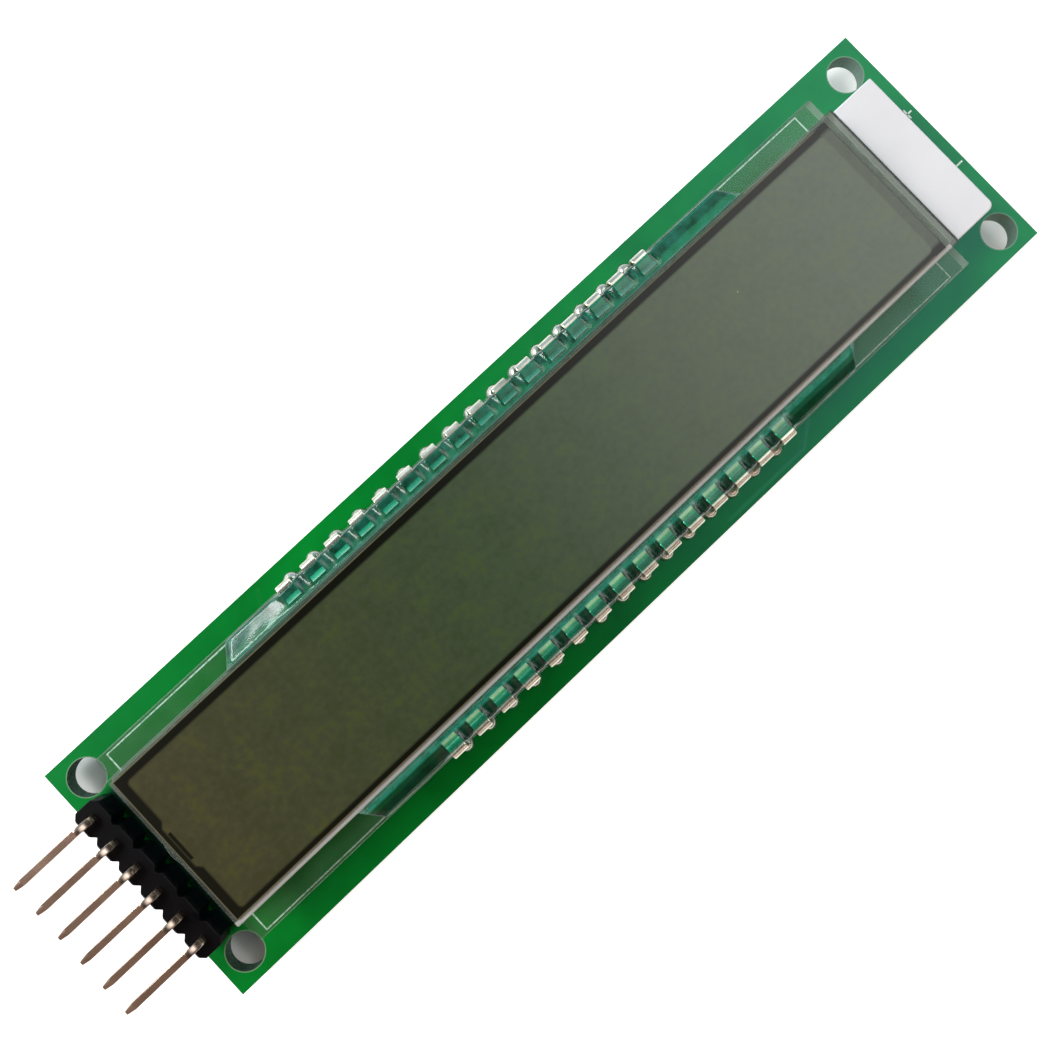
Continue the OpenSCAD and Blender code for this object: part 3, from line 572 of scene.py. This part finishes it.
def joined(meshes, name, finish, angle=20):
    """One piece from several plain meshes."""
    form = bmesh.new()
    for mesh in meshes:
        form.from_mesh(mesh)
    return piece_from(form, name, finish, angle)


def rounded(points, radii):
    """A path with its inner corners rounded to the given radii."""
    steps = 6
    path = [Vector(points[0])]
    for before, corner, after, radius in zip(points, points[1:], points[2:], radii):
        corner = Vector(corner)
        a = (Vector(before) - corner).normalized()
        b = (Vector(after) - corner).normalized()
        half = a.angle(b) / 2
        run = radius / math.tan(half)
        middle = corner + (a + b).normalized() * (radius / math.sin(half))
        start, stop = corner + a * run - middle, corner + b * run - middle
        for i in range(steps + 1):
            path.append(middle + start.slerp(stop, i / steps) * radius)
    return path + [Vector(points[-1])]


# Pieces that keep the CAD shape: loose triangles merged, hard edges eased

def eased(node, width, finish, name, steps=2):
    """A CAD node's own shape with its hard edges rounded over a width in millimetres."""
    form = bmesh.new()
    form.from_mesh(frame["nodes"][node].data)
    bmesh.ops.remove_doubles(form, verts=form.verts, dist=WELD)
    bmesh.ops.dissolve_limit(form, angle_limit=math.radians(0.5), verts=form.verts, edges=form.edges)
    sharp = [e for e in form.edges
             if len(e.link_faces) == 2 and e.calc_face_angle() > math.radians(HARD_EDGE)]
    bmesh.ops.bevel(form, geom=sharp, offset=width * MM, offset_type="OFFSET", segments=steps, profile=0.5,
                    affect="EDGES", clamp_overlap=True)
    keep(piece_from(form, name, finish, angle=40, flat_over=0.9), SLOTS[node], node)


eased("header_insulator", 0.1, black_moulding, "header_moulding")
for k in range(1, 7):
    eased(f"header_pin_{k}", 0.05, header_tin, f"header_pin_{k}_drawn")
eased("lamp_housing", 0.12, white_moulding, "lamp_cap", 3)
eased("driver_chip", 0.06, chip_moulding, "driver_chip_body")
eased("series_resistor", 0.05, resistor_body, "resistor_chip")
eased("supply_capacitor", 0.06, capacitor_body, "capacitor_chip")
eased("front_polarizer", 0.03, film, "front_film")
eased("front_glass", 0.12, front_pane, "front_plate")
eased("rear_glass", 0.12, glass, "rear_plate")
eased("light_guide", 0.1, acrylic, "light_guide_block")
eased("end_plug", 0.1, adhesive, "port_plug", 4)

for node, finish in {
    "board": mask, "reflector_film": white_film, "diffuser_film": white_film, "rear_polarizer": film,
    "cell_seal": seal_print, "lamp_strip": strip_mask, "lamps": lamp_gel, "lamp_leads": wire_tin,
    "driver_chip_leads": wire_tin,
}.items():
    held = frame["nodes"][node].data.materials
    held.clear()
    held.append(finish)


# Glass pins, clipped on the ledges

def glass_pins(xs, side, name, stem):
    """One row of pins: a wide upper arm with the clip's back, two narrow lower arms and a stepped leg."""
    crease = CREASE_Y[side]
    back = LEDGE_Y + CLIP_GAP + CLIP_T / 2
    bottom = LEDGE_Z - GLASS_T
    over, under = LEDGE_Z + CLIP_T / 2, bottom - CLIP_T / 2

    def bent(points, radii):
        return rounded([(0, side * y, z) for y, z in points], radii)

    upper = bent([(ARM_TIP_Y, over + TIP_RISE), (crease, over), (back, LEDGE_Z + 0.4), (back, bottom - 0.1)],
                 [CREASE_R, BEND_R])
    lower = bent([(back, bottom + 0.3), (back, bottom - 0.4), (crease, under),
                  (crease - 0.25, under - TIP_RISE)], [BEND_R, CREASE_R])
    leg = bent([(back, bottom + 0.2), (back, bottom - 0.8), (LEG_Y, BOARD_TOP + 0.8), (LEG_Y, LEG_END_Z)],
               [BEND_R, BEND_R])
    made = joined([
        strips([path], width, CLIP_T, edge, bright_tin, len(xs), (xs[0] + shift, 0, 0), (PITCH, 0, 0))
        for path, width, edge, shift in (
            (upper, UPPER_ARM_W, 0.06, 0), (lower, LOWER_ARM_W, 0.06, -LOWER_ARM_OFF),
            (lower, LOWER_ARM_W, 0.06, LOWER_ARM_OFF), (leg, LEG_W, 0.05, 0))
    ], name, bright_tin)
    keep(made, "glass_pin", *[f"{stem}{k + 1}" for k in range(len(xs))])


glass_pins(UPPER_X, 1, "upper_clip_pins", "upper_pin_")
glass_pins(LOWER_X, -1, "lower_clip_pins", "lower_pin_")


# Solder joints: a profile spun round the leg, then set in rows

def joint(ring, dome):
    """One solder joint: a hollow-sided cone below the board and, where the leg shows, a dome above it.
    The outlines are radius and height in millimetres, from the bottom up."""
    below = [(0.2, -0.9), (0.3, -0.88), (0.42, -0.55), (0.6, -0.2), (ring, -0.02), (ring, 0.02)]
    above = [(ring, BOARD_TOP - 0.02), (ring, BOARD_TOP + 0.05), (ring * 0.93, BOARD_TOP + 0.3),
             (ring * 0.72, BOARD_TOP + 0.55), (0.3, BOARD_TOP + 0.7), (0.12, BOARD_TOP + 0.7)]
    turns = [math.tau * k / JOINT_SIDES for k in range(JOINT_SIDES)]
    points, faces = [], []
    for outline in ([below, above] if dome else [below]):
        rings = []
        for r, z in outline:
            rings.append(range(len(points), len(points) + JOINT_SIDES))
            points += [(r * MM * math.cos(a), r * MM * math.sin(a), z * MM) for a in turns]
        for low, high in zip(rings, rings[1:]):
            faces += [(low[k - 1], low[k], high[k], high[k - 1]) for k in range(JOINT_SIDES)]
        faces += [tuple(reversed(rings[0])), tuple(rings[-1])]
    mesh = bpy.data.meshes.new("joint")
    mesh.from_pydata(points, [], faces)
    return mesh


def joint_row(ring, dome, count, first, step):
    """A row of solder joints with a foot of the given radius; places in millimetres."""
    return run_tree(MESH_ROW, joint(ring, dome), {
        "Count": count, "First": Vector(first) * MM, "Step": Vector(step) * MM, "Finish": solder})


keep(joined([
    joint_row(0.78, True, 16, (UPPER_X[0], LEG_Y + JOINT_SHIFT, 0), (PITCH, 0, 0)),
    joint_row(0.73, True, 15, (LOWER_X[0], JOINT_SHIFT - LEG_Y, 0), (PITCH, 0, 0)),
    joint_row(0.8, False, 2, (LEAD_X, -LEAD_Y, 0), (0, 2 * LEAD_Y, 0)),
    joint_row(0.875, False, 6, (HEADER_X, HEADER_Y[-1], 0), (0, PITCH, 0)),
], "solder_fillets", solder, 50), "solder", "solder_joints")


# Resin beads: a wet skin that climbs the front glass, swells over the arms of the pins and sags between them

def limited(value):
    """A value held between 0 and 1."""
    return min(1.0, max(0.0, value))


def rolled(value):
    """A quarter round: 1 up to the value 0, then down to 0 at the value 1."""
    return math.sqrt(max(0.0, 1 - max(0.0, value) ** 2))


def bead(xs, side, start, stop, name, node):
    """One bead from start to stop, over the pins at xs: columns along it, rows from the glass to its rim."""
    form = bmesh.new()
    grid = []
    for i in range(BEAD_COLUMNS + 1):
        ring = []
        for j in range(BEAD_ROWS + 1):
            t = j / BEAD_ROWS
            cut = t * BEAD_SLANT
            x = start + cut + (stop - start - 2 * cut) * i / BEAD_COLUMNS
            y = BEAD_INNER + t * (BEAD_RIM - BEAD_INNER)
            # Past the last pin the skin falls further
            gone = max(xs[0] - x, x - xs[-1])
            fall = 0.25 + 0.19 * limited((gone - 0.6) / 0.6) * limited((8.5 - gone) / 6.5)
            sag = (WET_H - 0.14 * limited(t / 0.12) - fall * t) * rolled((t - 0.85) / 0.15)
            swell = ARM_H * rolled((y - 8.85) / 0.25)
            near = limited((1.15 - min(abs(x - p) for p in xs)) / 0.43)
            near = max(near, 1 - gone / 2) if gone > 0 else near
            z = sag + near * near * (3 - 2 * near) * max(0.0, swell - sag)
            z += 0.012 * noise.noise(Vector((x * 0.9, y * 1.3, side * 3)))
            ends = math.sqrt(limited(min(x - start - cut, stop - cut - x) / 0.7))
            z = max(THIN_H, z * (ends * 0.97 + 0.03)) if j < BEAD_ROWS else THIN_H
            ring.append(form.verts.new((x * MM, side * y * MM, (LEDGE_Z + z) * MM)))
        feet = [form.verts.new((v.co.x, v.co.y, (LEDGE_Z + 0.003) * MM)) for v in (ring[0], ring[-1])]
        grid.append([feet[0]] + ring + [feet[1]])
    for a, b in zip(grid, grid[1:]):
        for j in range(len(a) - 1):
            form.faces.new((a[j], a[j + 1], b[j + 1], b[j]))
        form.faces.new((a[-1], a[0], b[0], b[-1]))
    form.faces.new(grid[0])
    form.faces.new(grid[-1])
    bmesh.ops.recalc_face_normals(form, faces=form.faces)
    keep(piece_from(form, name, resin, 60), "clear_resin", node)


bead(UPPER_X, 1, -28.45, 27.25, "upper_bead", "upper_resin")
bead(LOWER_X, -1, -28.48, 25.38, "lower_bead", "lower_resin")


# White legend on the board: outline of the cell and the two polarity marks

INK_Z = BOARD_TOP + 0.008


def flat(points, z):
    """A drawn path at one height."""
    return [(x, y, z) for x, y in points]


outline = [[(-41.2, 7.6), (-41.2, 9.74), (-21.9, 9.74)], [(18.6, 9.74), (37.62, 9.74), (37.62, 7.6)],
           [(37.62, -7.6), (37.62, -9.45), (17.4, -9.45)], [(-20.7, -9.45), (-41.2, -9.45), (-41.2, -7.6)]]
signs = [[(44.6, 3.3), (45.6, 3.3)], [(45.1, 2.8), (45.1, 3.8)], [(44.7, -2.9), (45.7, -2.9)]]
legend = strips([flat(p, INK_Z) for p in outline + signs], width=0.15, thickness=0.016, edge=0.004,
                finish=ink)
keep(joined([legend], "board_legend", ink), "board")


# Copper tracks under the mask, seen as faint ridges: a few on the viewing side and the fan-out underneath

def fan_out():
    """Paths from the driver's leads to the glass pins and the header, none crossing another."""
    outermost, gap = 8.5, 0.3
    paths = []
    for xs, side, inner in ((UPPER_X, 1, 3), (LOWER_X, -1, 2)):
        leads = [CHIP_X + CHIP_PITCH * (k - 5) for k in range(CHIP_LEADS)]
        pins = xs[inner:inner + CHIP_LEADS]
        for lead, pin in zip(leads, pins):
            farther = sum(1 for p in pins if abs(p - CHIP_X) > abs(pin - CHIP_X) + 0.01
                          and (p < CHIP_X) == (pin < CHIP_X))
            level = outermost - gap * (5 - farther) if abs(pin - lead) > 0.1 else outermost
            paths.append([(lead, side * CHIP_REACH), (lead, side * level),
                          (pin, side * level), (pin, side * LEG_Y)])
        for reach, ends in ((-CHIP_REACH, xs[:inner][::-1]), (CHIP_REACH, xs[inner + CHIP_LEADS:])):
            for k, pin in enumerate(ends):
                y = side * (4.0 - CHIP_PITCH * k)
                paths.append([(CHIP_X + reach, y), (pin, y), (pin, side * LEG_Y)])
    for k, y in enumerate(HEADER_Y):
        lead = 1.6 - CHIP_PITCH * k
        paths.append([(CHIP_X - CHIP_REACH, lead), (-36, lead), (-36 - abs(y - lead), y), (HEADER_X, y)])
    return paths


under = strips([flat(p, -0.012) for p in fan_out()], width=0.22, thickness=0.03, edge=0.008, finish=copper)
seen = [[(20.2, -9.7), (18.0, -11.4), (9.0, -11.4)], [(-23.3, 11.4), (-24.2, 9.8)]]
over = strips([flat(p, BOARD_TOP + 0.004) for p in seen], width=0.35, thickness=0.012, edge=0.002,
              finish=copper)
keep(joined([under, over], "mask_covered_tracks", copper), "board")


# Floor, light and camera

floor_form = bmesh.new()
bmesh.ops.create_grid(floor_form, x_segments=4, y_segments=4, size=1.5)
bmesh.ops.translate(floor_form, verts=floor_form.verts, vec=(0, 0, FLOOR_Z * MM))
floor = piece_from(floor_form, "studio_floor", floor_paper())


def panel(name, place, aim, width, height, watts, tint):
    """A soft rectangular light at a place, turned to a point; sizes in metres."""
    light = bpy.data.lights.new(name, "AREA")
    light.shape, light.size, light.size_y = "RECTANGLE", width, height
    light.energy, light.color = watts, linear(tint)[:3]
    lamp = bpy.data.objects.new(name, light)
    lamp.location = place
    lamp.rotation_euler = (Vector(aim) - Vector(place)).to_track_quat("-Z", "Y").to_euler()
    scene.collection.objects.link(lamp)


panel("key_window", (-0.22, 0.26, 0.36), (0, 0, 0), 0.28, 0.15, 1.8, "#ffffff")
panel("long_window", (-0.16, 0.405, 0.215), (0, 0, 0), 0.4, 0.045, 0.2, "#ffffff")
panel("low_fill", (0, -0.36, 0.29), (0, 0, 0), 0.5, 0.11, 0.38, "#ffdcc6")

# Surroundings: dark overhead, paler low down, a glow past the lamp end, a warm wall behind the header and
# cool daylight on the upper side
world = bpy.data.worlds.new("studio")
scene.world = world
world.use_nodes = True
air = world.node_tree
air.nodes.clear()
toward = add(air, "ShaderNodeTexCoord")
ways = add(air, SPLIT, None, {0: toward.outputs["Generated"]})
low = add(air, RANGE, None, {0: ways.outputs["Z"], 1: 0.1, 2: 0.9, 3: 0.16, 4: 0.04})
rise = add(air, RANGE, None, {0: ways.outputs["X"], 1: 0.03, 2: 0.55, 3: 0.0, 4: 3.6})
fall = add(air, RANGE, None, {0: ways.outputs["X"], 1: 0.6, 2: 0.8, 3: 1.0, 4: 0.0})
across = add(air, MATH, MINUS, {0: ways.outputs["Y"], 1: 0.02})
apart = add(air, MATH, ABSOLUTE, {0: across.outputs[0]})
band = add(air, RANGE, {"interpolation_type": "SMOOTHSTEP"},
           {0: apart.outputs[0], 1: 0.18, 2: 0.38, 3: 1.0, 4: 0.0})
above = add(air, RANGE, None, {0: ways.outputs["Z"], 1: 0.0, 2: 0.2})
lit = add(air, MATH, MULTIPLY, {0: rise.outputs[0], 1: fall.outputs[0]})
banded = add(air, MATH, MULTIPLY, {0: lit.outputs[0], 1: band.outputs[0]})
glow = add(air, MATH, {"operation": "MULTIPLY_ADD"},
           {0: banded.outputs[0], 1: above.outputs[0], 2: low.outputs[0]})
sky = add(air, "ShaderNodeBackground", None, {"Color": linear("#fafbfb"), "Strength": glow.outputs[0]})
dim = add(air, RANGE, None, {0: ways.outputs["X"], 1: -0.15, 2: -0.45, 3: 0.0, 4: 0.3})
warm = add(air, "ShaderNodeBackground", None, {"Color": linear("#ffd8be"), "Strength": dim.outputs[0]})
cool = add(air, RANGE, None, {0: ways.outputs["Y"], 1: 0.25, 2: 0.45, 3: 0.0, 4: 0.7})
blue = add(air, "ShaderNodeBackground", None, {"Color": linear("#b8dcf4"), "Strength": cool.outputs[0]})
both = add(air, "ShaderNodeAddShader", None, {0: sky.outputs[0], 1: warm.outputs[0]})
whole = add(air, "ShaderNodeAddShader", None, {0: both.outputs[0], 1: blue.outputs[0]})
add(air, "ShaderNodeOutputWorld", None, {"Surface": whole.outputs[0]})

# Camera, from a fit to the photograph
eye = bpy.data.cameras.new("camera")
eye.lens, eye.sensor_width, eye.sensor_fit = 32.221, 36.0, "HORIZONTAL"
eye.clip_start = 0.005
camera = bpy.data.objects.new("camera", eye)
camera.location = (-0.008603, -0.002548, 0.079827)
camera.rotation_euler = (math.radians(3.8816), math.radians(-1.3396), math.radians(-43.3398))
scene.collection.objects.link(camera)
scene.camera = camera
scene.view_settings.view_transform = "Standard"
